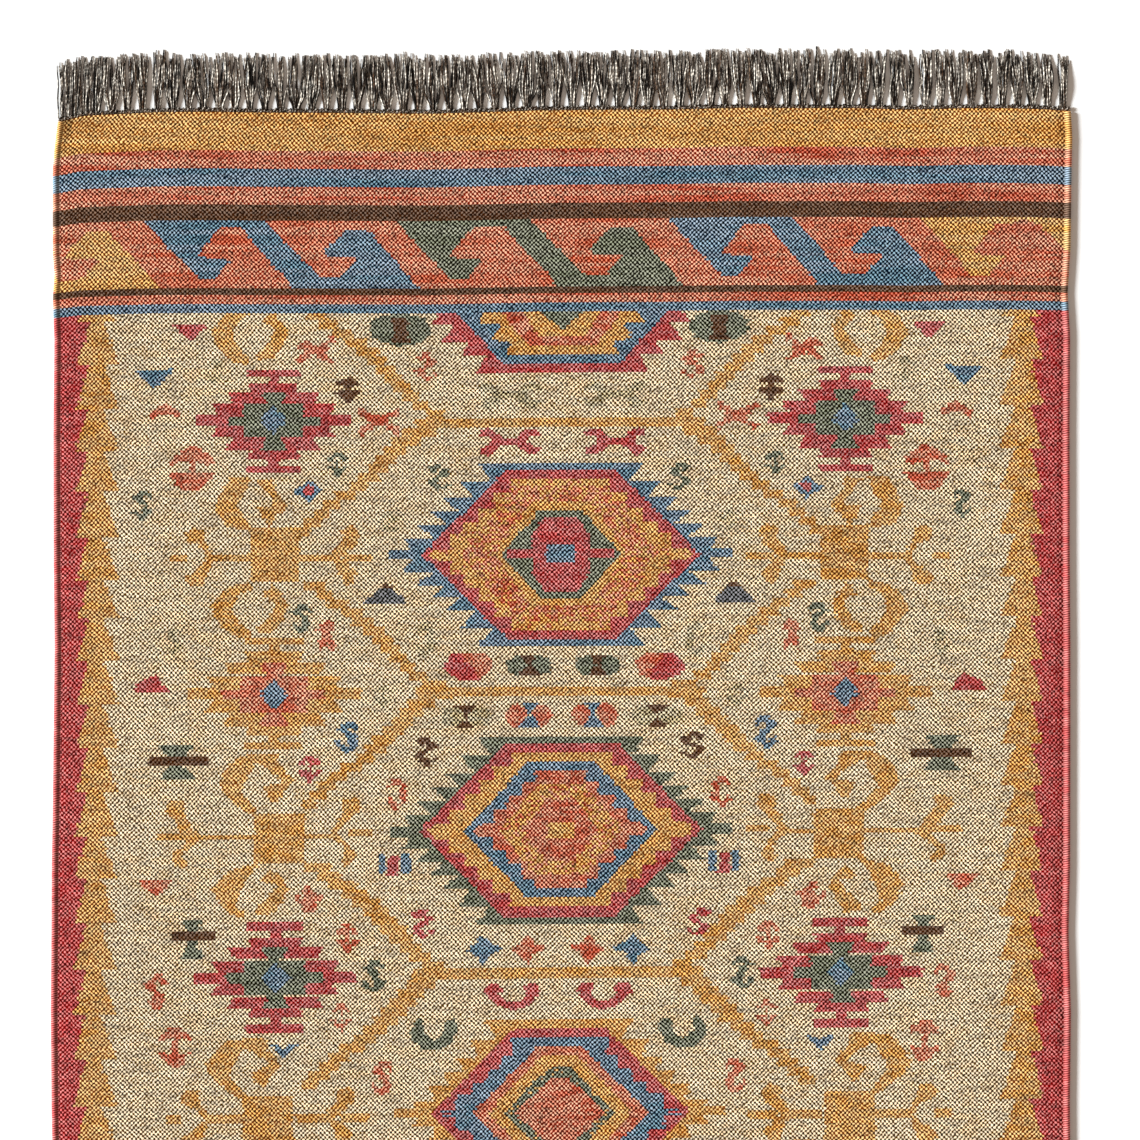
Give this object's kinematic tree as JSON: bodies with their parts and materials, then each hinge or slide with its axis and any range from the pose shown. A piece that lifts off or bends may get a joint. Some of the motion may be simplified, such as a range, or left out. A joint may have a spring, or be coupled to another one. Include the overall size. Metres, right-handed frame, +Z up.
{
  "type": "flat-woven kilim rug",
  "caption": "Flat-woven kilim rug lying flat, with rounded selvedges down its long sides, a twined heading at each end and fringes of gathered warp tassels.",
  "frame": {"origin": "on the flat underside, at the crossing of the rug's lengthwise and crosswise centre lines", "axes": "+Z up from the floor, +Y along the length towards the end that the picture shows, +X across the width to the picture's right"},
  "size_m": [1.5328, 2.6199, 0.0075],
  "materials": {
    "woven_cloth": "matt woven yarn, many colours",
    "fringe_yarn": "matt plied yarn, dark grey-brown flecked with light grey"
  },
  "bodies": {
    "root": {"woven_cloth": "woven_cloth", "fringe_far": "fringe_yarn", "fringe_near": "fringe_yarn"}
  },
  "joints": []
}
